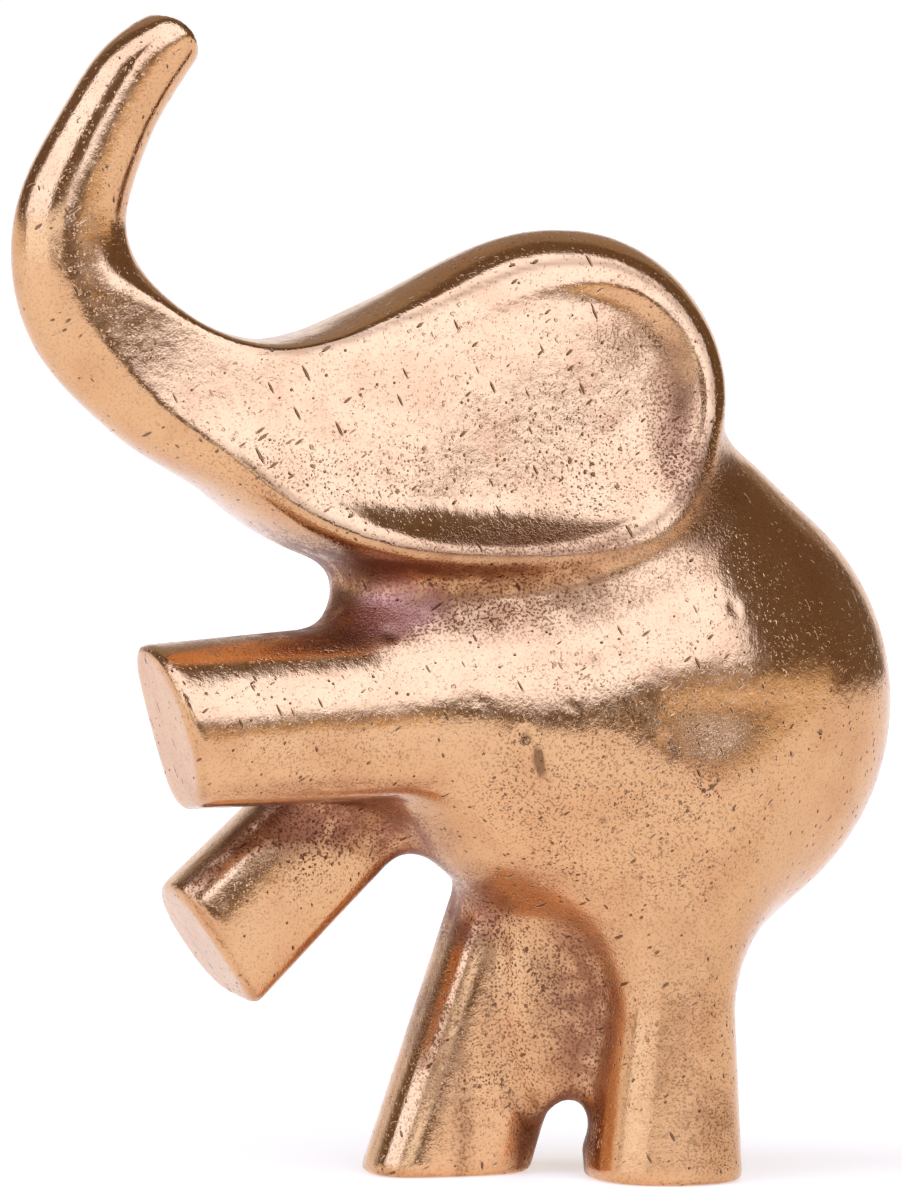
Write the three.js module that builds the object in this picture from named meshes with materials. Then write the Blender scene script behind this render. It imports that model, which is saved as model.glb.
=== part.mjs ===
import * as THREE from 'three';

// A small desk figure of an elephant, one solid bronze casting: trunk and chin lifted, both front legs raised,
// standing on its hind feet. It faces -X, its left side is -Y, and it stands on Z = 0.

// Driving sizes, in millimetres
const FIGURE_HEIGHT = 90;
const BODY_THICKNESS = 28;
const BELLY_THICKNESS = 24;
const HEAD_THICKNESS = 24;
const NECK_THICKNESS = 17;
const NAPE_THICKNESS = 15;
const LEG_THICKNESS = 12.4;
const WEB_THICKNESS = 7;
const TRUNK_TIP_THICKNESS = 7;
const TRUNK_ROOT_THICKNESS = 11.6;
const DISH_DEPTH = 2.4;
const DISH_SHALLOWS = 0.1;
const DISH_FILLET = 2.4;
const RIM_WIDTH = 0.6;
const CROWN_WIDTH = 2.4;
const CREST_ROUNDING = 1.3;
const FOOT_ROUNDING = 1.3;
const SOLE_ROUNDING = 0.8;
const BODY_FILLET = 4.5;
const HAUNCH_FILLET = 7;
const FAR_LEG_FILLET = 2.8;
const WEB_FILLET = 1.5;
const HEAD_FILLET = 3.2;
const MESH_STEP = 1.8;

// Pose and proportions are hundredths of the figure's height, as [along, up] or, on the spine, [along, up, half].
const UNIT = FIGURE_HEIGHT / 100;

// The middle line of trunk and head, from beyond the trunk's tip to the back of the ear.
const SPINE = [
  [-24.4, 101.5, 3.45],
  [-31.4, 91.2, 3.85],
  [-34.9, 82.0, 4.85],
  [-33.4, 75.2, 5.6],
  [-27.1, 68.9, 5.95],
  [-19.4, 65.4, 7.0],
  [-11.0, 63.4, 10.0],
  [-2.3, 64.2, 12.7],
  [7.5, 66.9, 14.5],
  [9.4, 68.0, 13.5],
];
const SPINE_STEPS = 96;

// The trunk ends in a slanting cut face, rounded over at its outer side.
const TIP_CUT = { point: [-24.3, 97.7], slant: 29, rounding: SOLE_ROUNDING };
const TIP_OUTER_CUT = { point: [-27.2, 100.4], slant: 104, rounding: 3 };
const TRUNK_LIMIT = -12;

// Where along the spine, from 0 at the tip to 1 in the ear, the round trunk turns into the flat ear.
const SPREADS = [0.3, 0.75];
const CROWN_FORMS = [0.28, 0.62];
const CREST_STARTS = [0.2, 0.4];
const CREST_LEAD = 0.16;
const CROWN_FILLS = [0.66, 0.92];
const FRONT_CROWN_SHARE = 0.35;

// How far from the spine, in half heights, the lower side's crown turns into the upper side's.
const UPPER_SIDE = [-0.6, 0.6];

const DISH_OPENS = [0.46, 0.8];
const DISH_WALL_SLOPE = 1.1;

// The dish's floor falls away from the ear's upper front to its lower back: the place where it is shallowest, the
// direction in which it falls, and how far off it is deepest.
const DISH_FALL = { point: [-4, 76], slant: -62, run: 26 };

// The ears lean in towards each other, up from the height where the head is thickest.
const HEAD_LEAN = 16;
const THICKEST_AT = 51;

const BODY = { centre: [17.2, 40.55], reach: [21.6, 21.2], thickness: BODY_THICKNESS };
const BELLY = { centre: [5.8, 36.6], reach: [12.1, 11.6], thickness: BELLY_THICKNESS };
const NECK = { centre: [-2.4, 47.5], reach: [9.1, 10.5], thickness: NECK_THICKNESS };
const NAPE = { centre: [17.6, 55.8], reach: [9.0, 9.2], thickness: NAPE_THICKNESS };
const WEB = { centre: [11, 17], reach: [7, 14], thickness: WEB_THICKNESS };
const ARCH = { centre: [10.6, 4.0], radius: 2.8 };

// A leg's section is a soft polygon. Each facet has its angle up from straight outwards, and how far out it lies
// in half widths. The front legs are flat below and slope inwards above a soft ridge.
const FRONT_FACETS = [[-9, 1], [27, 0.97], [60, 1], [93, 1.02], [-84, 1.02], [-45, 1.18], [168, 1], [193, 1]];
const HIND_FACETS = [[0, 1], [40, 1.03], [-40, 1.03], [90, 1], [-90, 1], [168, 1.02], [192, 1.02]];
const FRONT_SOFTNESS = 0.35;
const HIND_SOFTNESS = 0.5;
const MIDLINE_OVERLAP = 0.4;

// Each leg runs from its foot's centre, leaning up from level, and widens from foot to top over its length.
const NEAR_FRONT = {
  side: -1, foot: [-28.15, 39.7], lean: 3, endTilt: 12, halfFoot: 6.9, halfTop: 7.5, length: 25,
  facets: FRONT_FACETS, softness: FRONT_SOFTNESS,
  ends: { point: [14, 40], slant: 0 },
};
const FAR_FRONT = {
  side: 1, foot: [-21.6, 20.1], lean: 43.6, endTilt: -9, halfFoot: 6, halfTop: 5.4, length: 25,
  facets: FRONT_FACETS, softness: FRONT_SOFTNESS,
  ends: { point: [14, 46], slant: 53 },
};
const NEAR_HIND = {
  side: -1, foot: [16.7, -0.5], lean: 88.5, endTilt: 1.5, halfFoot: 6.6, halfTop: 5.4, length: 15,
  facets: HIND_FACETS, softness: HIND_SOFTNESS,
  ends: { point: [14, 34], slant: 90 },
};
const FAR_HIND = {
  side: 1, foot: [0.2, -0.5], lean: 72, endTilt: 18, halfFoot: 6.8, halfTop: 6.2, length: 24,
  facets: HIND_FACETS, softness: HIND_SOFTNESS,
  ends: { point: [14, 34], slant: 90 },
};
const BURIED_ROUNDING = 4;
const GROUND = -0.5;

const { clamp, lerp, smoothstep, degToRad } = THREE.MathUtils;

// Joins two forms with a fillet.
function join(a, b, fillet) {
  const near = Math.max(fillet - Math.abs(a - b), 0);
  return Math.min(a, b) - near * near / (4 * fillet);
}

// Keeps what two forms share, with the edge between them rounded.
function trim(a, b, rounding) {
  return -join(-a, -b, rounding);
}

// How far a point lies beyond a plane that crosses the figure's side view.
function beyond(x, z, { point, slant }) {
  const angle = degToRad(slant);
  return (x - point[0] * UNIT) * Math.cos(angle) + (z - point[1] * UNIT) * Math.sin(angle);
}

// Distance outside an ellipse or ellipsoid, from a point's offsets in its half axes.
function outsideRound(offsets, halves) {
  const scaled = Math.hypot(...offsets);
  const steepness = Math.hypot(...offsets.map((offset, axis) => offset / halves[axis]));
  return steepness < 1e-9 ? -Math.min(...halves) : scaled * (scaled - 1) / steepness;
}

function lump(x, y, z, { centre, reach, thickness }) {
  const halves = [reach[0] * UNIT, thickness / 2, reach[1] * UNIT];
  const offsets = [(x - centre[0] * UNIT) / halves[0], y / halves[1], (z - centre[1] * UNIT) / halves[2]];
  return outsideRound(offsets, halves);
}

const spineCurve = new THREE.CatmullRomCurve3(
  SPINE.map(([along, up, half]) => new THREE.Vector3(along, up, half).multiplyScalar(UNIT)),
);
const spine = spineCurve.getPoints(SPINE_STEPS).map((point) => ({ x: point.x, z: point.y, half: point.z }));

// Distance outside the side view of trunk and head, the nearest place along the spine, the half height there, and
// how far above the spine the point lies, in half heights.
function fromSpine(x, z) {
  const reach = spine.map((disc) => Math.hypot(x - disc.x, z - disc.z) - disc.half);
  let index = 1;
  for (let i = 2; i < SPINE_STEPS; i += 1) {
    if (reach[i] < reach[index]) index = i;
  }
  const slope = (reach[index + 1] - reach[index - 1]) / 2;
  const bend = Math.max(reach[index + 1] - 2 * reach[index] + reach[index - 1], 1e-9);
  const shift = clamp(-slope / bend, -1, 1);
  const half = spine[index].half + shift * (spine[index + 1].half - spine[index - 1].half) / 2;
  const runX = spine[index + 1].x - spine[index - 1].x;
  const runZ = spine[index + 1].z - spine[index - 1].z;
  const across = (z - spine[index].z) * runX - (x - spine[index].x) * runZ;
  return {
    outside: reach[index] + slope * shift + bend * shift * shift / 2,
    place: (index + shift) / SPINE_STEPS,
    half,
    above: across / Math.hypot(runX, runZ) / half,
  };
}

// Trunk and head are one slab: round at the trunk, and at the ear flat with a rounded crown round its edge. Inside
// the crown runs a narrow rim, and inside the rim each side of the ear is hollowed to a shallow dish.
function head(x, y, z) {
  const { outside, place, half, above } = fromSpine(x, z);
  const trunkThickness = lerp(TRUNK_TIP_THICKNESS, TRUNK_ROOT_THICKNESS, smoothstep(place, 0, SPREADS[1]));
  const leanIn = Math.max(z - THICKEST_AT * UNIT, 0) * Math.tan(degToRad(HEAD_LEAN));
  const halfThickness = lerp(trunkThickness / 2, HEAD_THICKNESS / 2 - leanIn, smoothstep(place, ...SPREADS));
  const upper = smoothstep(above, ...UPPER_SIDE);
  const crestPlace = place + CREST_LEAD * upper * smoothstep(place, ...CREST_STARTS);
  const upperWidth = lerp(FRONT_CROWN_SHARE, 1, smoothstep(place, ...CROWN_FILLS));
  const width = CROWN_WIDTH * lerp(1, upperWidth, upper);
  const crown = lerp(half, width, smoothstep(crestPlace, ...CROWN_FORMS));
  const offsets = [Math.max(outside + crown, 0) / crown, y / halfThickness];
  const slab = outsideRound(offsets, [crown, halfThickness]);
  const wall = Math.max(-outside - crown - RIM_WIDTH, 0) * DISH_WALL_SLOPE;
  const fall = smoothstep(beyond(x, z, DISH_FALL), 0, DISH_FALL.run * UNIT);
  const floorDepth = lerp(DISH_SHALLOWS, DISH_DEPTH, fall);
  const hollow = Math.max(join(wall, floorDepth, DISH_FILLET), 0) * smoothstep(place, ...DISH_OPENS);
  return trim(slab, Math.abs(y) - halfThickness + hollow, CREST_ROUNDING);
}

function leg(x, y, z, form) {
  const { side, foot, lean, endTilt, halfFoot, halfTop, length, facets, softness, ends } = form;
  const angle = degToRad(lean);
  const dx = x - foot[0] * UNIT;
  const dz = z - foot[1] * UNIT;
  const along = dx * Math.cos(angle) + dz * Math.sin(angle);
  const across = dz * Math.cos(angle) - dx * Math.sin(angle);
  const halfWidth = lerp(halfFoot, halfTop, clamp(along / (length * UNIT), 0, 1)) * UNIT;
  const halfDepth = LEG_THICKNESS / 2;
  const outward = (side * y - halfDepth + MIDLINE_OVERLAP) / halfDepth;
  const section = facets
    .map(([degrees, distance]) => {
      const facet = degToRad(degrees);
      return Math.cos(facet) * outward + Math.sin(facet) * across / halfWidth - distance;
    })
    .reduce((sum, value) => trim(sum, value, softness));
  const pastEnd = -beyond(x, z, { point: foot, slant: lean + endTilt });
  const bar = trim(section * Math.min(halfWidth, halfDepth), pastEnd, FOOT_ROUNDING);
  return trim(bar, beyond(x, z, ends), BURIED_ROUNDING);
}

// Distance outside the whole figure, negative in the bronze.
function figure(x, y, z) {
  const trunkSide = TRUNK_LIMIT * UNIT - x;
  const webbing = trim(lump(x, y, z, WEB), archGap(x, z), WEB_FILLET);
  let bronze = join(lump(x, y, z, BODY), lump(x, y, z, NAPE), BODY_FILLET);
  bronze = join(bronze, join(lump(x, y, z, BELLY), lump(x, y, z, NECK), BODY_FILLET), BODY_FILLET);
  bronze = join(bronze, leg(x, y, z, NEAR_FRONT), BODY_FILLET);
  bronze = join(bronze, leg(x, y, z, FAR_FRONT), FAR_LEG_FILLET);
  bronze = join(bronze, leg(x, y, z, NEAR_HIND), HAUNCH_FILLET);
  bronze = join(bronze, join(leg(x, y, z, FAR_HIND), webbing, WEB_FILLET), FAR_LEG_FILLET);
  bronze = join(bronze, head(x, y, z), HEAD_FILLET);
  bronze = trim(bronze, Math.min(beyond(x, z, TIP_CUT), trunkSide), TIP_CUT.rounding);
  bronze = trim(bronze, Math.min(beyond(x, z, TIP_OUTER_CUT), trunkSide), TIP_OUTER_CUT.rounding);
  return trim(bronze, GROUND * UNIT - z, SOLE_ROUNDING);
}

function archGap(x, z) {
  return ARCH.radius * UNIT - Math.hypot(x - ARCH.centre[0] * UNIT, z - ARCH.centre[1] * UNIT);
}

// The direction in which the distance grows fastest, which is the surface's outward normal.
const SLOPE_STEP = 0.01;

function outwardNormal([x, y, z]) {
  return new THREE.Vector3(
    figure(x + SLOPE_STEP, y, z) - figure(x - SLOPE_STEP, y, z),
    figure(x, y + SLOPE_STEP, z) - figure(x, y - SLOPE_STEP, z),
    figure(x, y, z + SLOPE_STEP) - figure(x, y, z - SLOPE_STEP),
  ).normalize();
}

// The surface is meshed on a grid of cubes that holds the figure with a cube to spare.
const MARGIN = 2.2 * MESH_STEP;
const REACH = { front: -41, back: 40, top: 101 };
const GRID_LOW = [REACH.front * UNIT - MARGIN, -BODY_THICKNESS / 2 - MARGIN, GROUND * UNIT - MARGIN];
const GRID_HIGH = [REACH.back * UNIT + MARGIN, BODY_THICKNESS / 2 + MARGIN, REACH.top * UNIT + MARGIN];
const COUNT = GRID_LOW.map((low, axis) => Math.ceil((GRID_HIGH[axis] - low) / MESH_STEP) + 1);

function nodeIndex([i, j, k]) {
  return (k * COUNT[1] + j) * COUNT[0] + i;
}

function nodePlace(node) {
  return node.map((step, axis) => GRID_LOW[axis] + step * MESH_STEP);
}

function forEachNode(from, visit) {
  for (let k = from; k < COUNT[2] - from; k += 1) {
    for (let j = from; j < COUNT[1] - from; j += 1) {
      for (let i = from; i < COUNT[0] - from; i += 1) visit([i, j, k]);
    }
  }
}

const values = new Float64Array(COUNT[0] * COUNT[1] * COUNT[2]);
forEachNode(0, (node) => {
  values[nodeIndex(node)] = figure(...nodePlace(node));
});

function inBronze(node) {
  return values[nodeIndex(node)] < 0;
}

// A cube's eight corners, its twelve edges as pairs of corners, and the four edges round each face.
const AXES = [0, 1, 2];
const CORNERS = [0, 1, 2, 3, 4, 5, 6, 7].map((corner) => AXES.map((axis) => (corner >> axis) & 1));
const EDGES = AXES.flatMap((axis) => CORNERS.flatMap((steps, corner) => (
  steps[axis] === 0 ? [{ from: corner, to: corner | (1 << axis), axis }] : []
)));
const FACES = AXES.flatMap((axis) => [0, 1].map((layer) => {
  const u = 1 << ((axis + 1) % 3);
  const v = 1 << ((axis + 2) % 3);
  const base = layer << axis;
  return [base, base | u, base | u | v, base | v];
}));
const FACE_EDGES = FACES.map((loop) => loop.map((corner, turn) => {
  const next = loop[(turn + 1) % loop.length];
  return EDGES.findIndex(({ from, to }) => from === Math.min(corner, next) && to === Math.max(corner, next));
}));

function shifted(node, steps) {
  return node.map((value, axis) => value + steps[axis]);
}

// Where the surface crosses an edge of the grid, found by halving, with its normal there.
const HALVINGS = 12;
const crossings = new Map();

function crossingOn(node, axis) {
  const key = nodeIndex(node) * 3 + axis;
  if (!crossings.has(key)) {
    const start = nodePlace(node);
    const startsInside = inBronze(node);
    let low = 0;
    let high = 1;
    for (let round = 0; round < HALVINGS; round += 1) {
      const middle = (low + high) / 2;
      const point = start.map((value, n) => value + (n === axis ? middle * MESH_STEP : 0));
      if (figure(...point) < 0 === startsInside) low = middle;
      else high = middle;
    }
    const point = start.map((value, n) => value + (n === axis ? (low + high) / 2 * MESH_STEP : 0));
    crossings.set(key, { point, normal: outwardNormal(point).toArray() });
  }
  return crossings.get(key);
}

// The point nearest to all the tangent planes of a patch, held towards the patch's middle and inside its cube.
const HOLD = 0.12;

function patchPoint(cuts, cubeLow) {
  const centre = AXES.map((axis) => cuts.reduce((sum, cut) => sum + cut.point[axis], 0) / cuts.length);
  const spread = AXES.map((row) => AXES.map((col) => (
    cuts.reduce((sum, cut) => sum + cut.normal[row] * cut.normal[col], row === col ? HOLD : 0)
  )));
  const pull = [0, 0, 0];
  for (const { point, normal } of cuts) {
    const offset = AXES.reduce((sum, axis) => sum + normal[axis] * (point[axis] - centre[axis]), 0);
    AXES.forEach((axis) => {
      pull[axis] += normal[axis] * offset;
    });
  }
  const shift = new THREE.Vector3(...pull).applyMatrix3(new THREE.Matrix3().set(...spread.flat()).invert());
  const solved = shift.toArray().map((value, axis) => (
    clamp(centre[axis] + value, cubeLow[axis], cubeLow[axis] + MESH_STEP)
  ));
  const off = figure(...solved);
  const normal = outwardNormal(solved).toArray();
  return solved.map((value, axis) => clamp(value - off * normal[axis], cubeLow[axis], cubeLow[axis] + MESH_STEP));
}

// Groups a cube's crossed edges into separate patches of surface.
function patchesIn(node) {
  const inside = CORNERS.map((steps) => inBronze(shifted(node, steps)));
  const crossed = EDGES.map(({ from, to }) => inside[from] !== inside[to]);
  const leader = EDGES.map((edge, n) => n);
  const find = (n) => (leader[n] === n ? n : find(leader[n]));
  FACES.forEach((loop, face) => {
    const edges = FACE_EDGES[face];
    const cut = edges.filter((edge) => crossed[edge]);
    if (cut.length === 2) leader[find(cut[0])] = find(cut[1]);
    if (cut.length < 4) return;
    loop.forEach((corner, turn) => {
      if (inside[corner]) leader[find(edges[turn])] = find(edges[(turn + 3) % 4]);
    });
  });
  const patches = new Map();
  crossed.forEach((isCrossed, edge) => {
    if (!isCrossed) return;
    const root = find(edge);
    if (!patches.has(root)) patches.set(root, []);
    patches.get(root).push(edge);
  });
  return [...patches.values()];
}

// One vertex for each patch, and two triangles round each crossed edge, joining the patches of the four cubes there.
function meshFigure() {
  const positions = [];
  const triangles = [];
  const vertexOf = new Map();
  forEachNode(1, (node) => {
    for (const edges of patchesIn(node)) {
      const cuts = edges.map((edge) => crossingOn(shifted(node, CORNERS[EDGES[edge].from]), EDGES[edge].axis));
      edges.forEach((edge) => vertexOf.set(nodeIndex(node) * EDGES.length + edge, positions.length));
      positions.push(patchPoint(cuts, nodePlace(node)));
    }
  });
  const apart = (a, b) => Math.hypot(...AXES.map((axis) => positions[a][axis] - positions[b][axis]));
  forEachNode(1, (node) => {
    for (const axis of AXES) {
      const startsInside = inBronze(node);
      if (startsInside === inBronze(shifted(node, AXES.map((n) => (n === axis ? 1 : 0))))) continue;
      const ring = [[0, 0], [1, 0], [1, 1], [0, 1]].map(([du, dv]) => {
        const back = [0, 0, 0];
        back[(axis + 1) % 3] = du;
        back[(axis + 2) % 3] = dv;
        const corner = back[0] | (back[1] << 1) | (back[2] << 2);
        const edge = EDGES.findIndex((other) => other.axis === axis && other.from === corner);
        return vertexOf.get(nodeIndex(shifted(node, back.map((step) => -step))) * EDGES.length + edge);
      });
      if (!startsInside) ring.reverse();
      if (apart(ring[1], ring[3]) < apart(ring[0], ring[2])) ring.push(ring.shift());
      triangles.push(ring[0], ring[1], ring[2], ring[0], ring[2], ring[3]);
    }
  });
  return { positions, triangles };
}

const { positions, triangles } = meshFigure();
const geometry = new THREE.BufferGeometry();
geometry.setAttribute('position', new THREE.Float32BufferAttribute(positions.flat(), 3));
geometry.setIndex(triangles);

// The origin is under the middle of the figure, at the height of its soles.
geometry.computeBoundingBox();
const { min, max } = geometry.boundingBox;
geometry.translate(-(min.x + max.x) / 2, -(min.y + max.y) / 2, -min.z);
geometry.computeVertexNormals();

const polishedBronze = new THREE.MeshStandardMaterial({ color: 0xc98d62, roughness: 0.25, metalness: 1 });
const elephant = new THREE.Mesh(geometry, polishedBronze);
elephant.name = 'elephant';

const model = new THREE.Group();
model.add(elephant);

export default model;
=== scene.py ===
import math

import bpy
import numpy as np
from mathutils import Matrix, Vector


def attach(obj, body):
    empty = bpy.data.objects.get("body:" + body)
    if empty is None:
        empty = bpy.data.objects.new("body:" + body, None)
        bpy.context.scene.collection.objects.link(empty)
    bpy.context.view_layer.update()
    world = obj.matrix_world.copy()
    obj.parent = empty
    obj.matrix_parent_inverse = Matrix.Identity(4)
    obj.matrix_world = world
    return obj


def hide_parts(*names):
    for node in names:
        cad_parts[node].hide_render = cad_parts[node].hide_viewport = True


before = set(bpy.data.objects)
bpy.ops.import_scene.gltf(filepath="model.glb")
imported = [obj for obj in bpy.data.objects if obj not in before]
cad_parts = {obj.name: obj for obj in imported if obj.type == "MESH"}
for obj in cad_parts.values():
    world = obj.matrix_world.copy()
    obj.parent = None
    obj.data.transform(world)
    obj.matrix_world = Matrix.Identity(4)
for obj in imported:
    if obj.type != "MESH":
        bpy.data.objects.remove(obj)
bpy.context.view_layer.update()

# The casting
# One solid piece of bronze, sand cast, filed at its crests and soles and polished all over, with casting
# pores and brown patina left in its hollows, where the brown is partly painted shade. The trunk, the head
# with its dished ears, the body and the legs run into each other with fillets. Lengths are in millimetres,
# and pose and proportions in hundredths of the figure's height.
FIGURE_HEIGHT = 90
BODY_THICKNESS = 28
BELLY_THICKNESS = 24
HEAD_THICKNESS = 24
NECK_THICKNESS = 17
NAPE_THICKNESS = 15
LEG_THICKNESS = 12.4
WEB_THICKNESS = 7
TRUNK_TIP_THICKNESS = 7
TRUNK_ROOT_THICKNESS = 11.6
DISH_DEPTH = 2.4
DISH_SHALLOWS = 0.1
DISH_FILLET = 2.4
RIM_WIDTH = 0.6
CROWN_WIDTH = 2.4
CREST_ROUNDING = 0.45
FOOT_ROUNDING = 1.0
SOLE_ROUNDING = 0.5
BODY_FILLET = 4.5
HAUNCH_FILLET = 7
FAR_LEG_FILLET = 2.8
WEB_FILLET = 1.5
HEAD_FILLET = 3.2
MESH_STEP = 0.44

UNIT = FIGURE_HEIGHT / 100
MILLIMETRE = 0.001
TINY = 1e-9

# The middle line of trunk and head: [along, up, half height], from beyond the trunk's tip to the back of
# the ear.
SPINE = np.array([
    [-24.4, 101.5, 3.45],
    [-31.4, 91.2, 3.85],
    [-34.9, 82.0, 4.85],
    [-33.4, 75.2, 5.6],
    [-27.1, 68.9, 5.95],
    [-19.4, 65.4, 7.0],
    [-11.0, 63.4, 10.0],
    [-2.3, 64.2, 12.7],
    [7.5, 66.9, 14.5],
    [9.4, 68.0, 13.5],
]) * UNIT
SPINE_STEPS = 96
TIP_CUT = {"point": (-24.3, 97.7), "slant": 29, "rounding": 0.6}
TIP_OUTER_CUT = {"point": (-27.2, 100.4), "slant": 104, "rounding": 3}
TRUNK_LIMIT = -12
SPREADS = (0.3, 0.75)
CROWN_FORMS = (0.28, 0.62)
UPPER_SIDE = (-0.6, 0.6)
CREST_STARTS = (0.2, 0.4)
CREST_LEAD = 0.16
CROWN_FILLS = (0.66, 0.92)
FRONT_CROWN_SHARE = 0.35
DISH_OPENS = (0.46, 0.8)
DISH_WALL_SLOPE = 1.1

# The dish's floor falls away from the ear's upper front to its lower back: a point on the line where it is
# shallowest, the direction in which it falls, and how far off it is deepest.
DISH_FALL = {"point": (-4, 76), "slant": -62, "run": 26}

# The ears lean in towards each other, up from the height where the head is thickest.
HEAD_LEAN = 16
THICKEST_AT = 51

BODY = {"centre": (17.2, 40.55), "reach": (21.6, 21.2), "thickness": BODY_THICKNESS}
BELLY = {"centre": (5.8, 36.6), "reach": (12.1, 11.6), "thickness": BELLY_THICKNESS}
NECK = {"centre": (-2.4, 47.5), "reach": (9.1, 10.5), "thickness": NECK_THICKNESS}
NAPE = {"centre": (17.6, 55.8), "reach": (9.0, 9.2), "thickness": NAPE_THICKNESS}
WEB = {"centre": (11, 17), "reach": (7, 14), "thickness": WEB_THICKNESS}
ARCH = {"centre": (10.6, 4.0), "radius": 2.8}

# A leg's section is a soft polygon. Each facet has its angle up from straight outwards, and how far out it
# lies in half widths. The front legs are flat below and slope inwards above a soft ridge.
FRONT_FACETS = [(-9, 1), (27, 0.97), (60, 1), (93, 1.02), (-84, 1.02), (-45, 1.18), (168, 1), (193, 1)]
HIND_FACETS = [(0, 1), (40, 1.03), (-40, 1.03), (90, 1), (-90, 1), (168, 1.02), (192, 1.02)]
FRONT_SOFTNESS = 0.35
HIND_SOFTNESS = 0.5
MIDLINE_OVERLAP = 0.4
NEAR_FRONT = {
    "side": -1, "foot": (-28.15, 39.7), "lean": 3, "end_tilt": 12, "half_foot": 6.9, "half_top": 7.5,
    "length": 25, "facets": FRONT_FACETS, "softness": FRONT_SOFTNESS,
    "ends": {"point": (14, 40), "slant": 0},
}
FAR_FRONT = {
    "side": 1, "foot": (-21.6, 20.1), "lean": 43.6, "end_tilt": -9, "half_foot": 6, "half_top": 5.4,
    "length": 25, "facets": FRONT_FACETS, "softness": FRONT_SOFTNESS,
    "ends": {"point": (14, 46), "slant": 53},
}
NEAR_HIND = {
    "side": -1, "foot": (16.7, -0.5), "lean": 88.5, "end_tilt": 1.5, "half_foot": 6.6, "half_top": 5.4,
    "length": 15, "facets": HIND_FACETS, "softness": HIND_SOFTNESS,
    "ends": {"point": (14, 34), "slant": 90},
}
FAR_HIND = {
    "side": 1, "foot": (0.2, -0.5), "lean": 72, "end_tilt": 18, "half_foot": 6.8, "half_top": 6.2,
    "length": 24, "facets": HIND_FACETS, "softness": HIND_SOFTNESS,
    "ends": {"point": (14, 34), "slant": 90},
}
BURIED_ROUNDING = 4
GROUND = -0.5

# The grid that the skin is found on reaches this far along and up, and a little further on every side.
GRID_ALONG = (-42, 41)
GRID_TOP = 102
SPARE_ROOM = 1
SPARE_CELLS = 2.2
SETTLE_ROUNDS = 3
SETTLE_SHARE = 0.5
NORMAL_STEP = 0.02


def smooth_rise(value, start, end):
    share = np.clip((value - start) / (end - start), 0, 1)
    return share * share * (3 - 2 * share)


def blend(a, b, share):
    return a + (b - a) * share


def join(a, b, fillet):
    """Joins two forms with a fillet."""
    near = np.maximum(fillet - np.abs(a - b), 0)
    return np.minimum(a, b) - near * near / (4 * fillet)


def trim(a, b, rounding):
    """Keeps what two forms share, with the edge between them rounded."""
    return -join(-a, -b, rounding)


def beyond(x, z, cut):
    """How far a point lies beyond a plane that crosses the figure's side view."""
    angle = math.radians(cut["slant"])
    along, up = cut["point"]
    return (x - along * UNIT) * math.cos(angle) + (z - up * UNIT) * math.sin(angle)


def outside_round(offsets, halves):
    """Distance outside an ellipse or ellipsoid, from a point's offsets in its half axes."""
    scaled = np.sqrt(sum(offset ** 2 for offset in offsets))
    steepness = np.sqrt(sum((offset / half) ** 2 for offset, half in zip(offsets, halves)))
    distance = scaled * (scaled - 1) / np.maximum(steepness, TINY)
    return np.where(steepness < TINY, -np.min(halves[-1]), distance)


def lump(x, y, z, form):
    halves = (form["reach"][0] * UNIT, form["thickness"] / 2, form["reach"][1] * UNIT)
    along, up = form["centre"]
    offsets = ((x - along * UNIT) / halves[0], y / halves[1], (z - up * UNIT) / halves[2])
    return outside_round(offsets, halves)


def spine_discs():
    """Even steps along a curve through the spine's points, with each disc's place and half height."""
    before = 2 * SPINE[0] - SPINE[1]
    after = 2 * SPINE[-1] - SPINE[-2]
    points = np.vstack([before, SPINE, after])
    discs = []
    for step in range(SPINE_STEPS + 1):
        span = min(int(step / SPINE_STEPS * (len(SPINE) - 1)), len(SPINE) - 2)
        t = step / SPINE_STEPS * (len(SPINE) - 1) - span
        p0, p1, p2, p3 = points[span:span + 4]
        d0, d1, d2 = (np.linalg.norm(b - a) ** 0.5 for a, b in ((p0, p1), (p1, p2), (p2, p3)))
        leaving = ((p1 - p0) / d0 - (p2 - p0) / (d0 + d1) + (p2 - p1) / d1) * d1
        arriving = ((p2 - p1) / d1 - (p3 - p1) / (d1 + d2) + (p3 - p2) / d2) * d1
        bend = -3 * p1 + 3 * p2 - 2 * leaving - arriving
        twist = 2 * p1 - 2 * p2 + leaving + arriving
        discs.append(p1 + leaving * t + bend * t ** 2 + twist * t ** 3)
    return np.array(discs)


DISCS = spine_discs()


def from_spine(x, z):
    """Distance outside trunk and head in side view, nearest place along the spine, half height there, and how
    far above the spine the point is, in half heights."""
    reach = np.stack([np.hypot(x - along, z - up) - half for along, up, half in DISCS])
    index = np.argmin(reach[1:-1], axis=0) + 1
    here, back, ahead = (np.take_along_axis(reach, (index + step)[None], 0)[0] for step in (0, -1, 1))
    slope = (ahead - back) / 2
    bend = np.maximum(ahead - 2 * here + back, TINY)
    shift = np.clip(-slope / bend, -1, 1)
    halves = DISCS[:, 2]
    half = halves[index] + shift * (halves[index + 1] - halves[index - 1]) / 2
    run = DISCS[index + 1] - DISCS[index - 1]
    across = (z - DISCS[index, 1]) * run[..., 0] - (x - DISCS[index, 0]) * run[..., 1]
    above = across / np.hypot(run[..., 0], run[..., 1]) / half
    return here + slope * shift + bend * shift ** 2 / 2, (index + shift) / SPINE_STEPS, half, above


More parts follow.
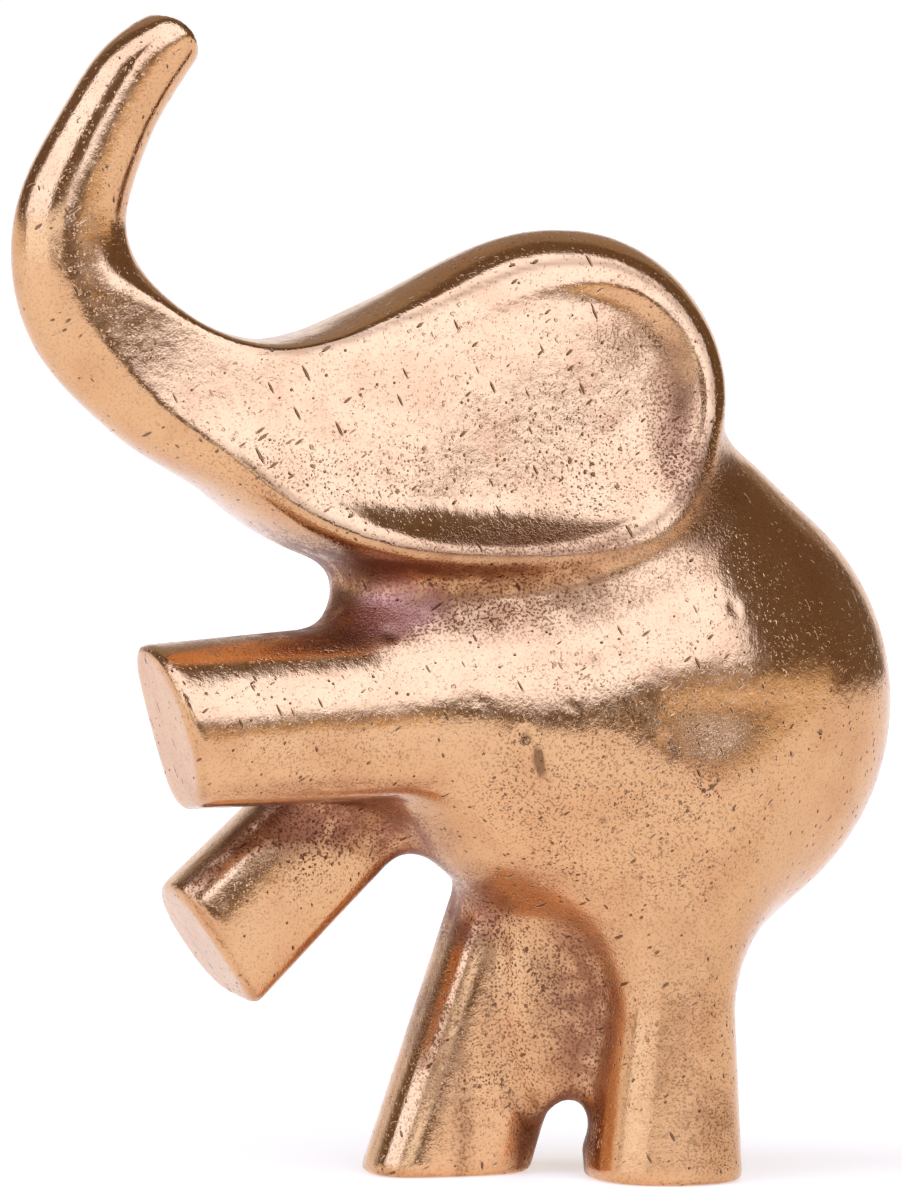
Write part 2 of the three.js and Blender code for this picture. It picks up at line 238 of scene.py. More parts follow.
def head_edge(x, z):
    """Distance outside trunk and head in side view, place along the spine, and the crown's width there."""
    outside, place, half, above = from_spine(x, z)
    upper = smooth_rise(above, *UPPER_SIDE)
    crest_place = place + CREST_LEAD * upper * smooth_rise(place, *CREST_STARTS)
    upper_width = blend(FRONT_CROWN_SHARE, 1, smooth_rise(place, *CROWN_FILLS))
    width = CROWN_WIDTH * blend(1, upper_width, upper)
    return outside, place, blend(half, width, smooth_rise(crest_place, *CROWN_FORMS))


def head(x, y, z):
    """Trunk and head as one slab, with a crown round its edge and a rim and a shallow dish on each side."""
    outside, place, crown = head_edge(x, z)
    trunk_thickness = blend(TRUNK_TIP_THICKNESS, TRUNK_ROOT_THICKNESS, smooth_rise(place, 0, SPREADS[1]))
    lean_in = np.maximum(z - THICKEST_AT * UNIT, 0) * math.tan(math.radians(HEAD_LEAN))
    half_thickness = blend(trunk_thickness / 2, HEAD_THICKNESS / 2 - lean_in, smooth_rise(place, *SPREADS))
    offsets = (np.maximum(outside + crown, 0) / crown, y / half_thickness)
    slab = outside_round(offsets, (crown, half_thickness))
    wall = np.maximum(-outside - crown - RIM_WIDTH, 0) * DISH_WALL_SLOPE
    fall = smooth_rise(beyond(x, z, DISH_FALL), 0, DISH_FALL["run"] * UNIT)
    floor_depth = blend(DISH_SHALLOWS, DISH_DEPTH, fall)
    brown_patina_and_shade = np.maximum(join(wall, floor_depth, DISH_FILLET), 0) * smooth_rise(place, *DISH_OPENS)
    return trim(slab, np.abs(y) - half_thickness + brown_patina_and_shade, CREST_ROUNDING)


def leg(x, y, z, form):
    angle = math.radians(form["lean"])
    dx = x - form["foot"][0] * UNIT
    dz = z - form["foot"][1] * UNIT
    along = dx * math.cos(angle) + dz * math.sin(angle)
    across = dz * math.cos(angle) - dx * math.sin(angle)
    share = np.clip(along / (form["length"] * UNIT), 0, 1)
    half_width = blend(form["half_foot"], form["half_top"], share) * UNIT
    half_depth = LEG_THICKNESS / 2
    outward = (form["side"] * y - half_depth + MIDLINE_OVERLAP) / half_depth
    section = None
    for degrees, distance in form["facets"]:
        facet = math.radians(degrees)
        value = math.cos(facet) * outward + math.sin(facet) * across / half_width - distance
        section = value if section is None else trim(section, value, form["softness"])
    past_end = -beyond(x, z, {"point": form["foot"], "slant": form["lean"] + form["end_tilt"]})
    bar = trim(section * np.minimum(half_width, half_depth), past_end, FOOT_ROUNDING)
    return trim(bar, beyond(x, z, form["ends"]), BURIED_ROUNDING)


def figure(x, y, z):
    """Distance outside the whole figure, negative in the bronze."""
    trunk_side = TRUNK_LIMIT * UNIT - x
    arch = ARCH["radius"] * UNIT - np.hypot(x - ARCH["centre"][0] * UNIT, z - ARCH["centre"][1] * UNIT)
    webbing = trim(lump(x, y, z, WEB), arch, WEB_FILLET)
    bronze = join(lump(x, y, z, BODY), lump(x, y, z, NAPE), BODY_FILLET)
    bronze = join(bronze, join(lump(x, y, z, BELLY), lump(x, y, z, NECK), BODY_FILLET), BODY_FILLET)
    bronze = join(bronze, leg(x, y, z, NEAR_FRONT), BODY_FILLET)
    bronze = join(bronze, leg(x, y, z, FAR_FRONT), FAR_LEG_FILLET)
    bronze = join(bronze, leg(x, y, z, NEAR_HIND), HAUNCH_FILLET)
    bronze = join(bronze, join(leg(x, y, z, FAR_HIND), webbing, WEB_FILLET), FAR_LEG_FILLET)
    bronze = join(bronze, head(x, y, z), HEAD_FILLET)
    bronze = trim(bronze, np.minimum(beyond(x, z, TIP_CUT), trunk_side), TIP_CUT["rounding"])
    bronze = trim(bronze, np.minimum(beyond(x, z, TIP_OUTER_CUT), trunk_side), TIP_OUTER_CUT["rounding"])
    return trim(bronze, GROUND * UNIT - z, SOLE_ROUNDING)


def figure_at(points):
    return figure(points[:, 0], points[:, 1], points[:, 2])


def outward_normals(points):
    slopes = np.empty_like(points)
    for axis in range(3):
        offset = np.zeros(3)
        offset[axis] = NORMAL_STEP
        slopes[:, axis] = figure_at(points + offset) - figure_at(points - offset)
    return slopes / np.maximum(np.linalg.norm(slopes, axis=1, keepdims=True), 1e-12)


def mesh_figure(step):
    """The figure's skin: a vertex in each grid cube that it crosses, and a quad round each such edge."""
    margin = SPARE_ROOM + SPARE_CELLS * step
    low = np.array([GRID_ALONG[0] * UNIT, -BODY_THICKNESS / 2, GROUND * UNIT]) - margin
    high = np.array([GRID_ALONG[1] * UNIT, BODY_THICKNESS / 2, GRID_TOP * UNIT]) + margin
    axes = [np.arange(low[n], high[n] + step, step) for n in range(3)]
    values = figure(axes[0][:, None, None], axes[1][None, :, None], axes[2][None, None, :])
    inside = values < 0
    cubes = tuple(size - 1 for size in values.shape)
    total = np.zeros(cubes + (3,))
    count = np.zeros(cubes)
    crossed = []
    for axis in range(3):
        first = tuple(slice(0, -1) if n == axis else slice(None) for n in range(3))
        second = tuple(slice(1, None) if n == axis else slice(None) for n in range(3))
        edges = np.argwhere(inside[first] != inside[second])
        edges = edges[np.all((edges > 0) & (edges < np.array(cubes)), axis=1)]
        ahead = edges + np.eye(3, dtype=int)[axis]
        start, end = values[tuple(edges.T)], values[tuple(ahead.T)]
        place = edges.astype(float)
        place[:, axis] += start / (start - end)
        others = [n for n in range(3) if n != axis]
        for back_u in (0, 1):
            for back_v in (0, 1):
                cube = edges.copy()
                cube[:, others[0]] -= back_u
                cube[:, others[1]] -= back_v
                np.add.at(total, tuple(cube.T), place)
                np.add.at(count, tuple(cube.T), 1)
        crossed.append(edges)
    used = count > 0
    number = np.full(cubes, -1)
    number[used] = np.arange(used.sum())
    points = low + total[used] / count[used][:, None] * step
    quads = []
    for axis, edges in enumerate(crossed):
        u, v = (axis + 1) % 3, (axis + 2) % 3
        ring = []
        for back_u, back_v in ((0, 0), (1, 0), (1, 1), (0, 1)):
            cube = edges.copy()
            cube[:, u] -= back_u
            cube[:, v] -= back_v
            ring.append(number[tuple(cube.T)])
        ring = np.stack(ring, axis=1)
        leaves = inside[tuple(edges.T)]
        quads.append(np.where(leaves[:, None], ring, ring[:, ::-1]))
    return points, np.vstack(quads)


def settle(points, quads):
    """Evens out the vertices along the skin, and puts each back on it."""
    links = np.vstack([quads[:, [n, (n + 1) % 4]] for n in range(4)])
    links = np.vstack([links, links[:, ::-1]])
    neighbours = np.bincount(links[:, 0], minlength=len(points))
    for _ in range(SETTLE_ROUNDS):
        middle = np.stack([
            np.bincount(links[:, 0], weights=points[links[:, 1], axis], minlength=len(points)) / neighbours
            for axis in range(3)
        ], axis=1)
        normals = outward_normals(points)
        drift = middle - points
        drift -= normals * np.sum(drift * normals, axis=1, keepdims=True)
        points = points + SETTLE_SHARE * drift
        points = points - normals * figure_at(points)[:, None]
    return points - outward_normals(points) * figure_at(points)[:, None]


points, quads = mesh_figure(MESH_STEP)
points = settle(points, quads)
normals = outward_normals(points)

# How far out a narrow and a wide hollow are looked for, and where the dark line on the ears' edges lies.
FINE_REACH = 3.2
WIDE_REACH = 6.5
CREST_LINE_STRENGTH = 0.55
CREST_LINE_FADES = (0.05, 0.45)
CREST_LINE_STARTS = (0.45, 0.6)
SIDE_STARTS = (2, 3)


def hollowness(reach):
    """How much of the space above a point, up to that distance, its neighbouring forms close in."""
    return np.clip((reach - figure_at(points + normals * reach)) / reach, 0, 1)


# These hollowness measures also darken the colour below, as patina and painted shade.
fine_hollow = hollowness(FINE_REACH)
wide_hollow = hollowness(WIDE_REACH)

# A thin dark line is left along the file's edge, where each ear's rim meets its crown.
outside, place, crown = head_edge(points[:, 0], points[:, 2])
crest_line = CREST_LINE_STRENGTH * (1 - smooth_rise(np.abs(outside + crown), *CREST_LINE_FADES))
crest_line *= smooth_rise(place, *CREST_LINE_STARTS) * smooth_rise(np.abs(points[:, 1]), *SIDE_STARTS)

centre = (points.min(axis=0) + points.max(axis=0)) / 2
origin = np.array([centre[0], centre[1], points[:, 2].min()])
placed = points - origin

# Dents and one long gouge, left from the casting and from use: along, up, half width, half length, tilt and
# depth. They are all in the left side, which is the near one.
DENTS = [
    (2.7, 33.2, 0.6, 1.9, 12, 0.4),
    (1.6, 35.2, 0.65, 0.6, 0, 0.25),
    (8.0, 28.6, 0.6, 0.6, 0, 0.2),
    (6.6, 41.0, 1.0, 0.9, 0, 0.1),
    (-8.0, 43.0, 0.8, 0.7, 0, 0.2),
    (5.2, 37.4, 0.35, 1.1, 50, 0.07),
    (12.6, 34.6, 0.4, 0.9, 20, 0.14),
    (15.0, 22.6, 0.5, 0.5, 0, 0.16),
    (-1.9, 37.9, 0.35, 1.0, 70, 0.05),
    (18.6, 44.8, 0.5, 0.7, 0, 0.1),
]


def sunk(places):
    """How deep the dents lie at each place on the near side."""
    depth = np.zeros(len(places))
    for along, up, half_width, half_length, tilt, deepest in DENTS:
        angle = math.radians(tilt)
        dx, dz = places[:, 0] - along, places[:, 2] - up
        across = (dx * math.cos(angle) + dz * math.sin(angle)) / half_width
        length = (dz * math.cos(angle) - dx * math.sin(angle)) / half_length
        depth += deepest * np.clip(1 - across ** 2 - length ** 2, 0, 1) ** 1.5
    return depth * (places[:, 1] < 0)


dent = sunk(placed)
placed -= normals * dent[:, None]

# Brown patches: old patina where nobody polishes, and painted shade and painted dark reflections where a
# row says so. Each has its middle, half widths, strength, and how purple the brown turns.
PATINA_AND_SHADE_PATCHES = [
    # Between the hind legs and under the belly: patina with painted shade.
    ((9.0, 0.0, 14.0), (3.9, 8.0, 11.0), 0.85, 0.1),
    ((4.5, 0.0, 24.2), (6.0, 9.0, 2.2), 0.7, 0.1),
    ((2.0, 4.0, 20.5), (4.5, 7.0, 3.0), 0.6, 0.3),
    # At the neck: purple patina.
    ((-8.6, -9.0, 45.2), (5.0, 5.0, 2.6), 0.5, 0.8),
    # On the dish's right and upper walls: patina with a painted dark reflection.
    ((15.6, -9.0, 60.0), (2.6, 5.0, 10.0), 0.95, 0.1),
    ((12.6, -9.0, 65.4), (4.2, 5.0, 3.4), 0.75, 0.05),
    # Along the dish's lower wall: a painted dark reflection.
    ((4.0, -11.0, 50.0), (12.0, 5.0, 1.7), 0.6, 0.1),
    # At the far front leg's root: patina with painted shade.
    ((-10.5, 4.0, 28.4), (4.6, 7.0, 3.4), 0.75, 0.2),
    # Along the near front leg's top: a painted dark reflection.
    ((-17.0, -6.0, 42.6), (9.0, 6.0, 1.4), 0.6, 0.0),
    # Under the belly: patina with painted shade.
    ((-2.6, 4.0, 22.5), (5.0, 7.0, 2.8), 0.7, 0.1),
    ((-3.5, 0.0, 27.0), (4.0, 8.0, 2.6), 0.6, 0.2),
    # Down the far hind leg's left edge: a painted dark reflection.
    ((-1.2, 3.0, 12.0), (1.4, 5.0, 10.0), 0.6, 0.0),
    # Under the near front leg: patina with painted shade.
    ((-14.0, -8.0, 31.4), (10.0, 8.0, 1.0), 0.5, 0.1),
    # Low on the near hind leg: brown.
    ((17.0, -9.0, 4.0), (3.0, 6.0, 5.0), 0.5, 0.0),
    # Down the far hind leg: a painted dark reflection.
    ((0.8, 1.0, 5.0), (0.9, 6.0, 8.0), 0.6, 0.0),
]

# Where the casting came out porous: middle, half widths and strength.
POROUS_PARTS = [
    ((8.0, -9.0, 58.0), (9.5, 5.0, 7.0), 1.0),
    ((9.0, -12.0, 31.0), (14.0, 6.0, 12.0), 0.9),
    ((-14.0, -10.0, 34.5), (10.0, 5.0, 3.0), 0.7),
    ((-13.0, 3.0, 26.0), (6.0, 7.0, 5.0), 1.0),
    ((3.0, 0.0, 14.0), (6.0, 9.0, 11.0), 0.9),
    ((-12.0, -7.0, 55.5), (13.0, 5.0, 3.6), 0.8),
    ((14.0, -9.0, 12.0), (4.0, 6.0, 10.0), 0.5),
]

# A brown patch or porous part fades between these shares of its half widths.
PATCH_FADES = (0.45, 1.25)


def closeness(middle, halves):
    """1 near the middle of an ellipsoid, and 0 a little outside it."""
    apart = np.linalg.norm((placed - np.array(middle)) / np.array(halves), axis=1)
    return 1 - smooth_rise(apart, *PATCH_FADES)


# Each vertex's brown patches: patina, and painted shade and painted dark reflections.
patina_and_shade_patch = np.zeros(len(placed))
purple = np.zeros(len(placed))
for middle, halves, strength, tint in PATINA_AND_SHADE_PATCHES:
    patina_and_shade_patch = np.maximum(patina_and_shade_patch, strength * closeness(middle, halves))
    purple = np.maximum(purple, tint * closeness(middle, halves))
porous = np.zeros(len(placed))
for middle, halves, strength in POROUS_PARTS:
    porous = np.maximum(porous, strength * closeness(middle, halves))

casting_mesh = bpy.data.meshes.new("elephant_casting")
casting_mesh.from_pydata((placed * MILLIMETRE).tolist(), [], quads.tolist())
casting_mesh.validate()
casting_mesh.shade_smooth()
for name, amounts in (("fine_hollow", fine_hollow), ("wide_hollow", wide_hollow), ("patina_and_shade_patch", patina_and_shade_patch),
                      ("purple", purple), ("porous", porous), ("dent", dent),
                      ("crest_line", crest_line)):
    layer = casting_mesh.attributes.new(name, "FLOAT", "POINT")
    layer.data.foreach_set("value", amounts.astype(np.float32))
casting = bpy.data.objects.new("elephant_casting", casting_mesh)
bpy.context.collection.objects.link(casting)


def linear(hex_colour):
    """An sRGB hex colour as linear red, green, blue and alpha."""
    parts = [int(hex_colour[n:n + 2], 16) / 255 for n in (1, 3, 5)]
    return [p / 12.92 if p <= 0.04045 else ((p + 0.055) / 1.055) ** 2.4 for p in parts] + [1.0]


def add_node(kind, *values, output=None, **named):
    """Adds a node to the tree. Values go to its inputs in order, and named ones to its inputs if they have a
    capital, or else to its settings. Gives its first output, or the named one."""
    node = tree.nodes.new("ShaderNode" + kind)
    for name, value in named.items():
        if name[0].islower():
            setattr(node, name, value)
    pairs = list(zip((socket for socket in node.inputs if socket.enabled), values))
    pairs += [(node.inputs[name.replace("_", " ")], named[name]) for name in named if name[0].isupper()]
    for socket, value in pairs:
        if isinstance(value, bpy.types.NodeSocket):
            tree.links.new(value, socket)
        else:
            socket.default_value = value
    if output:
        return node.outputs[output]
    return next((socket for socket in node.outputs if socket.enabled), None)


TIMES = {"operation": "MULTIPLY"}
PLUS = {"operation": "ADD"}
MINUS = {"operation": "SUBTRACT"}
TIMES_PLUS = {"operation": "MULTIPLY_ADD"}
LARGER = {"operation": "MAXIMUM"}
SMALLER = {"operation": "MINIMUM"}
SCALED = {"operation": "SCALE"}
DEGREES = {"operation": "DEGREES"}
DOT = {"operation": "DOT_PRODUCT"}
SMOOTH = {"interpolation_type": "SMOOTHSTEP"}
COLOURS = {"data_type": "RGBA"}

# Polished cast bronze: a warm pinkish gold that mirrors its surroundings softly. It is bare metal on the
# crests, and browner and duller in the hollows, where the polishing wheel doesn't reach; the brown there is
# partly painted shade, and some brown patches paint shade or dark reflections. Casting pores and wear pit it
# all over.
BARE_METAL = "#DEAB7B"
WARM_METAL = "#D29A6C"
PATINA_AND_SHADE_BROWN = "#7C4526"
PATINA_PURPLE = "#DC9C8A"
PORE_DARK = "#4A2614"
METAL_ROUGHNESS = 0.12
HOLLOW_ROUGHNESS = 0.38
DULL_ROUGHNESS = 0.07

# Lengths of the surface's patterns in mm, how many finer ones each has in it, and where each sets in.
SPECKLE = {"length": 0.2, "detail": 2.0, "rise": (0.5, 0.66)}
PATCHES = {"length": 1.6, "detail": 5.0, "rise": (0.3, 0.62, 0.3, 0.75)}
CROWDING = {"length": 7.0, "detail": 3.0, "rise": (0.4, 0.65)}
TONES = {"length": 4.5, "detail": 5.0, "rise": (0.4, 0.7, 0.0, 0.7)}
DULLING = {"length": 1.1, "detail": 3.0, "rise": (0.4, 0.7, 0.0, DULL_ROUGHNESS)}
GRAIN = {"length": 0.16, "detail": 2.0, "height": 0.007}
RIPPLE = {"length": 0.5, "detail": 3.0, "height": 0.014}
WAVE = {"length": 2.4, "detail": 2.0, "height": 0.05}
RAGGED_LENGTH = 0.3
RAGGED_REACH = 0.3

# Kinds of pits: the spacing of their grid in mm, the share of its cells with a pit, and a pit's size in
# spacings.
PORES = {"spacing": 0.6, "share": 0.34, "size": 0.36}
PIN_PORES = {"spacing": 0.24, "share": 0.7, "size": 0.48}
SMALL_DENTS = {"spacing": 2.6, "share": 0.16, "size": 0.12}
DASHES = {"spacing": 0.48, "share": 0.24, "size": 0.3}
DASH_TURNS = ((0.3, 0.9, 0.2), (-0.5, 0.1, 1.1), (1.2, -0.7, 0.6))
DASH_STRETCH = 6.0
PIT_EDGE = 0.5
PORE_DEPTH = 0.09
SPECKLE_DEPTH = 0.03

# How strong each mark is, in sound and in porous metal where there are two values, how far hollows turn
# brown, which is patina and painted shade, and how far marks turn dark.
PORE_STRENGTHS = (0.25, 1.0)
PIN_PORE_STRENGTHS = (0.12, 0.9)
GRIT_STRENGTHS = (0.22, 0.72)
CROWDED_SHARES = (0.55, 1.0)
SMALL_DENT_STRENGTH = 0.7
DASH_STRENGTH = 0.85
DENT_DARKENS = (0.03, 0.25, 0.0, 0.8)
WIDE_BROWNS = (0.3, 0.85, 0.0, 0.8)
FINE_BROWNS = (0.1, 0.5, 0.0, 0.8)
SPECKLED_SHARE = 0.5
BROWN_SHARE = 0.9
GRIME_SHARE = 0.85

bronze = bpy.data.materials.new("polished_cast_bronze")
bronze.use_nodes = True
tree = bronze.node_tree
tree.nodes.clear()
in_mm = add_node("VectorMath", add_node("TexCoord", output="Object"), 1 / MILLIMETRE, **SCALED)


def pits(form, place):
    """Round pits on a scattered grid, 1 in the middle and 0 outside. Only a share of the cells has one."""
    cells = add_node("TexVoronoi", place, Scale=1 / form["spacing"])
    chance = add_node("SeparateColor", cells.node.outputs["Color"])
    picked = add_node("MapRange", chance, 1 - form["share"], 1.0, **SMOOTH)
    reach = add_node("Math", picked, form["size"], **TIMES)
    inside = add_node("Math", reach, cells, **MINUS)
    return add_node("MapRange", inside, 0.0, form["size"] * PIT_EDGE, **SMOOTH)


# The hollows and the brown patches, which darken the colour below as patina and painted shade.
fine_shade = add_node("Attribute", attribute_name="fine_hollow", output="Fac")
wide_shade = add_node("Attribute", attribute_name="wide_hollow", output="Fac")
patina_and_shade_patches_fac = add_node("Attribute", attribute_name="patina_and_shade_patch", output="Fac")
purpled = add_node("Attribute", attribute_name="purple", output="Fac")
porosity = add_node("Attribute", attribute_name="porous", output="Fac")
dent_depth = add_node("Attribute", attribute_name="dent", output="Fac")
edge_line = add_node("Attribute", attribute_name="crest_line", output="Fac")

# Each pattern's noise, and its smooth step where it has one.
noises = {}
for name, form in (("speckle", SPECKLE), ("patches", PATCHES), ("crowding", CROWDING), ("tones", TONES),
                   ("dulling", DULLING), ("grain", GRAIN), ("ripple", RIPPLE), ("wave", WAVE)):
    noises[name] = add_node("TexNoise", in_mm, Scale=1 / form["length"], Detail=form["detail"])
    if "rise" in form:
        noises[name] = add_node("MapRange", noises[name], *form["rise"], **SMOOTH)
speckle = noises["speckle"]

# The brown of patina and painted shade, where the figure is hollow or in a brown patch, and broken up by
# patches and speckles.
brown_patina_and_shade = add_node("Math", add_node("MapRange", wide_shade, *WIDE_BROWNS, **SMOOTH),
                  add_node("MapRange", fine_shade, *FINE_BROWNS, **SMOOTH), **PLUS)
brown_patina_and_shade = add_node("Math", brown_patina_and_shade, patina_and_shade_patches_fac, **PLUS)
patchy = add_node("Math", noises["patches"], add_node("Math", speckle, SPECKLED_SHARE, **TIMES), **PLUS)
brown_patina_and_shade = add_node("Math", add_node("Math", brown_patina_and_shade, patchy, **TIMES), 1.0, **SMALLER)

# The pits, with ragged edges, and crowded in the porous parts.
wander = add_node("TexNoise", in_mm, Scale=1 / RAGGED_LENGTH, Detail=1.0, output="Color")
ragged = add_node("VectorMath", wander, (RAGGED_REACH,) * 3, in_mm, **TIMES_PLUS)
crowded = add_node("MapRange", noises["crowding"], 0.0, 1.0, *CROWDED_SHARES, **SMOOTH)
pore_share = add_node("Math", porosity, crowded, **TIMES)
marks = add_node("Math", pits(SMALL_DENTS, ragged), SMALL_DENT_STRENGTH, **TIMES)
for form, strengths in ((PIN_PORES, PIN_PORE_STRENGTHS), (PORES, PORE_STRENGTHS)):
    strength = add_node("MapRange", pore_share, 0.0, 1.0, *strengths, **SMOOTH)
    marks = add_node("Math", marks, add_node("Math", pits(form, ragged), strength, **TIMES), **LARGER)
for turn in DASH_TURNS:
    turned = add_node("Mapping", in_mm, Rotation=turn, Scale=(1.0, 1.0, DASH_STRETCH), vector_type="TEXTURE")
    dashes = add_node("Math", pits(DASHES, turned), DASH_STRENGTH, **TIMES)
    marks = add_node("Math", marks, dashes, **LARGER)

# The marks' darkness, and the surface's height in mm.
strength = add_node("MapRange", pore_share, 0.0, 1.0, *GRIT_STRENGTHS, **SMOOTH)
grit = add_node("Math", speckle, strength, **TIMES)
dented = add_node("MapRange", dent_depth, *DENT_DARKENS, **SMOOTH)
spots = add_node("Math", marks, grit, **LARGER)
grime = add_node("Math", spots, add_node("Math", dented, edge_line, **LARGER), **LARGER)
height = add_node("Math", marks, -PORE_DEPTH, **TIMES)
for name, form in (("grain", GRAIN), ("ripple", RIPPLE), ("wave", WAVE)):
    height = add_node("Math", noises[name], form["height"], height, **TIMES_PLUS)
height = add_node("Math", add_node("Math", speckle, brown_patina_and_shade, **TIMES), -SPECKLE_DEPTH, height, **TIMES_PLUS)
relief = add_node("Bump", Strength=1.0, Distance=MILLIMETRE, Height=height)

# The colour and the dullness.
bare = add_node("Mix", noises["tones"], linear(BARE_METAL), linear(WARM_METAL), **COLOURS)
brown = add_node("Mix", purpled, linear(PATINA_AND_SHADE_BROWN), linear(PATINA_PURPLE), **COLOURS)
# The brown of patina and painted shade, mixed over the bare metal.
metal_tone = add_node("Mix", add_node("Math", brown_patina_and_shade, BROWN_SHARE, **TIMES), bare, brown, **COLOURS)
darkness = add_node("Math", grime, GRIME_SHARE, **TIMES)
pitted = add_node("Mix", darkness, metal_tone, linear(PORE_DARK), **COLOURS)
dullness = add_node("Math", brown_patina_and_shade, marks, **LARGER)
roughness = add_node("MapRange", dullness, 0.0, 1.0, METAL_ROUGHNESS, HOLLOW_ROUGHNESS, **SMOOTH)
roughness = add_node("Math", roughness, noises["dulling"], **PLUS)

shader = add_node("BsdfPrincipled", Base_Color=pitted, Metallic=1.0, Roughness=roughness, Normal=relief)
add_node("OutputMaterial", Surface=shader)
casting_mesh.materials.append(bronze)
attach(casting, "root")
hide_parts("elephant")

# The floor
# A smooth white table top that the figure stands on. It isn't part of the figure.
FLOOR_REACH = 6.0
FLOOR_WHITE = "#EADDCB"
GLOW_WHITE = "#FFFFFF"
FLOOR_GLOW = 0.5
FLOOR_ROUGHNESS = 0.6
floor_mesh = bpy.data.meshes.new("table_top")
corners = [(-FLOOR_REACH, -FLOOR_REACH, 0), (FLOOR_REACH, -FLOOR_REACH, 0), (FLOOR_REACH, FLOOR_REACH, 0),
           (-FLOOR_REACH, FLOOR_REACH, 0)]
floor_mesh.from_pydata(corners, [], [(0, 1, 2, 3)])
floor = bpy.data.objects.new("table_top", floor_mesh)
bpy.context.collection.objects.link(floor)
white_top = bpy.data.materials.new("matt_white_laminate")
white_top.use_nodes = True
white_shader = white_top.node_tree.nodes["Principled BSDF"]
white_shader.inputs["Base Color"].default_value = linear(FLOOR_WHITE)
white_shader.inputs["Roughness"].default_value = FLOOR_ROUGHNESS
white_shader.inputs["Emission Color"].default_value = linear(GLOW_WHITE)
white_shader.inputs["Emission Strength"].default_value = FLOOR_GLOW
floor_mesh.materials.append(white_top)

# The lights
# Soft studio light: a large softbox, whose dark gap at the camera's left shows as the figure's dark bands,
# lower cards in front and at the sides, a card behind, and a dark warm room elsewhere. Azimuths and
# elevations are in degrees. An azimuth of 0 is towards the camera, and 90 is to its right.
STUDIO_TURN = math.radians(18)
SOFT_EDGE = 7
ROOM_TONE = (0.185, 0.14, 0.102)
LIGHT_PATCHES = [
    {"azimuths": (3, 55), "elevations": (12, 84), "glow": (1.48, 1.98, 3.2)},
    {"azimuths": (-100, 3), "elevations": (44, 84), "glow": (1.48, 1.98, 3.2)},
    {"azimuths": (-100, -38), "elevations": (13, 44), "glow": (1.48, 1.98, 3.2)},
    {"azimuths": (-88, -30), "elevations": (-6, 13), "glow": (1.15, 1.4, 1.8)},
    {"azimuths": (-30, 2), "elevations": (5, 15), "glow": (1.15, 1.4, 1.8)},
    {"azimuths": (30, 92), "elevations": (-9, 6), "glow": (0.72, 0.66, 0.55)},
    {"azimuths": (-150, -92), "elevations": (-10, 8), "glow": (0.8, 0.82, 0.85)},
    {"azimuths": (150, 210), "elevations": (-10, 18), "glow": (0.85, 0.87, 0.9)},
    {"azimuths": (140, 215), "elevations": (22, 56), "glow": (0.2, 0.18, 0.15)},
]

surround = bpy.data.worlds.new("studio")
bpy.context.scene.world = surround
surround.use_nodes = True
tree = surround.node_tree
tree.nodes.clear()
direction = add_node("TexCoord", output="Generated")
towards = add_node("VectorMath", direction, (-math.sin(STUDIO_TURN), -math.cos(STUDIO_TURN), 0), **DOT)
rightwards = add_node("VectorMath", direction, (math.cos(STUDIO_TURN), -math.sin(STUDIO_TURN), 0), **DOT)
upwards = add_node("VectorMath", direction, (0, 0, 1), **DOT)
azimuth = add_node("Math", add_node("Math", rightwards, towards, operation="ARCTAN2"), **DEGREES)
from_behind = add_node("Math", add_node("Math", azimuth, 360, **PLUS), 360, operation="MODULO")
elevation = add_node("Math", add_node("Math", upwards, operation="ARCSINE"), **DEGREES)
front_place = add_node("CombineXYZ", azimuth, elevation)
back_place = add_node("CombineXYZ", from_behind, elevation)


def light_from(patches):
    """The room's tone with the light of some patches over it."""
    light = ROOM_TONE
    for patch in patches:
        (left, right), (low, high) = patch["azimuths"], patch["elevations"]
        place = back_place if right > 180 else front_place
        offset = add_node("VectorMath", place, ((left + right) / 2, (low + high) / 2, 0), **MINUS)
        apart = add_node("VectorMath", offset, operation="ABSOLUTE")
        outer = ((right - left + SOFT_EDGE) / 2, (high - low + SOFT_EDGE) / 2, SOFT_EDGE)
        inner = ((right - left - SOFT_EDGE) / 2, (high - low - SOFT_EDGE) / 2, 0)
        inside = add_node("MapRange", apart, outer, inner, data_type="FLOAT_VECTOR", **SMOOTH)
        bands = add_node("SeparateXYZ", inside)
        share = add_node("Math", bands, bands.node.outputs["Y"], **TIMES)
        light = add_node("VectorMath", share, patch["glow"], light, **TIMES_PLUS)
    return add_node("Background", light, 1.0)


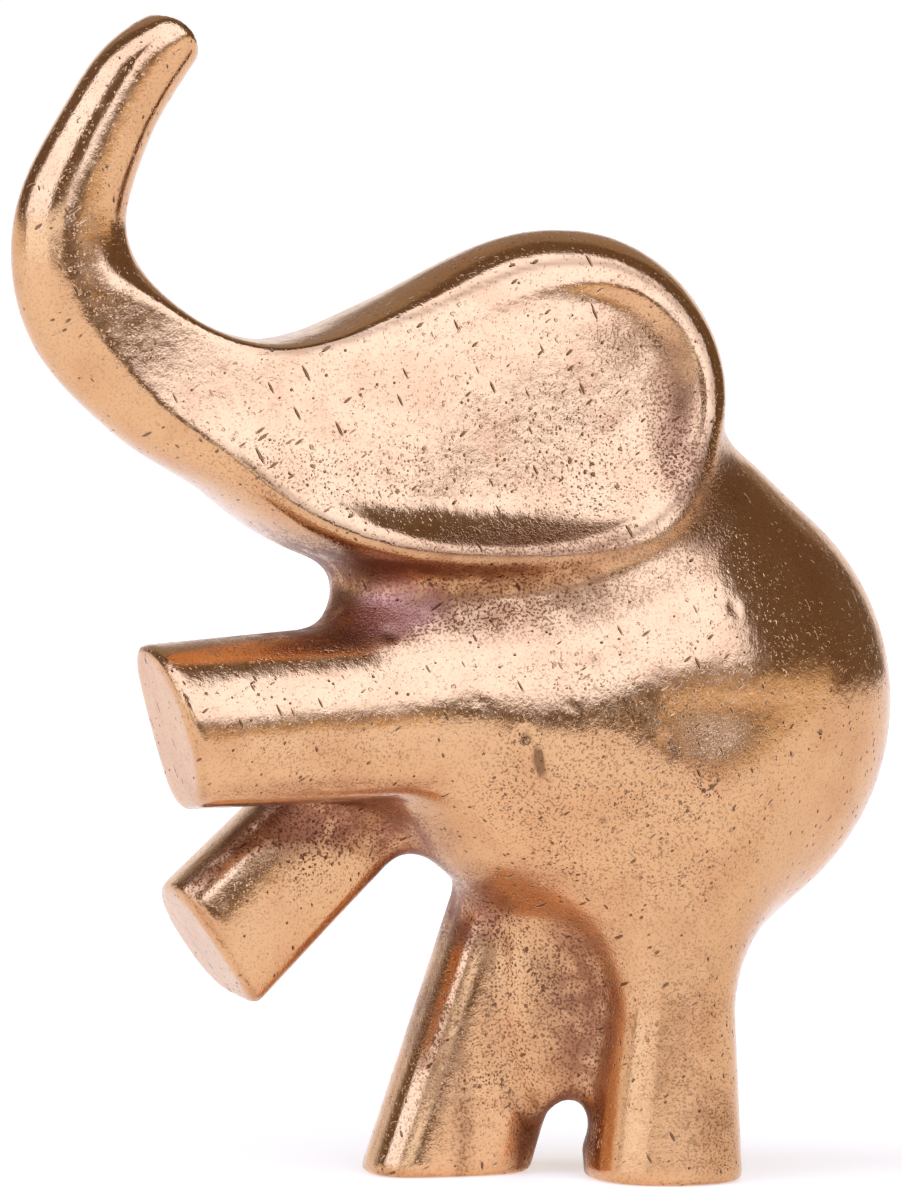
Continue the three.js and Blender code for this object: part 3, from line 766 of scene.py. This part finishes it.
# The studio's front and back are worked out apart, which is quicker. A patch counts in each part that it reaches.
FRONT_START, FRONT_END = -104, 96
reaches = [(patch["azimuths"][0] - SOFT_EDGE / 2, patch["azimuths"][1] + SOFT_EDGE / 2) for patch in LIGHT_PATCHES]
front = [patch for patch, (start, end) in zip(LIGHT_PATCHES, reaches) if start < FRONT_END and end > FRONT_START]
back = [patch for patch, (start, end) in zip(LIGHT_PATCHES, reaches) if start < FRONT_START or end > FRONT_END]
in_front = add_node("Math", azimuth, (FRONT_START + FRONT_END) / 2, (FRONT_END - FRONT_START) / 2,
                    operation="COMPARE")
glow = add_node("MixShader", in_front, light_from(back), light_from(front))
add_node("OutputWorld", Surface=glow)

# The camera
# A long lens looks at the figure from its front left, slightly from above.
FIGURE_MIDDLE = Vector((0, 0, 0.045))
CAMERA_AZIMUTH = math.radians(18)
CAMERA_ELEVATION = math.radians(3)
CAMERA_DISTANCE = 0.8
PIXELS_PER_MM = 12.90
CLIP_END = 50
PHOTO_SIZE = (902, 1200)
FOCAL_PIXELS = PIXELS_PER_MM * CAMERA_DISTANCE / MILLIMETRE
AIM_PIXEL = (455.2, 600.79)
SENSOR_WIDTH = 36

camera_data = bpy.data.cameras.new("camera")
camera = bpy.data.objects.new("camera", camera_data)
bpy.context.collection.objects.link(camera)
away = Vector((-math.sin(CAMERA_AZIMUTH) * math.cos(CAMERA_ELEVATION),
               -math.cos(CAMERA_AZIMUTH) * math.cos(CAMERA_ELEVATION), math.sin(CAMERA_ELEVATION)))
camera.location = FIGURE_MIDDLE + away * CAMERA_DISTANCE
camera.rotation_euler = away.to_track_quat("Z", "Y").to_euler()
camera_data.sensor_fit = "HORIZONTAL"
camera_data.sensor_width = SENSOR_WIDTH
camera_data.lens = FOCAL_PIXELS / PHOTO_SIZE[0] * SENSOR_WIDTH
camera_data.shift_x = (PHOTO_SIZE[0] / 2 - AIM_PIXEL[0]) / PHOTO_SIZE[0]
camera_data.shift_y = (AIM_PIXEL[1] - PHOTO_SIZE[1] / 2) / PHOTO_SIZE[0]
camera_data.clip_end = CLIP_END
bpy.context.scene.camera = camera
bpy.context.scene.view_settings.view_transform = "Standard"
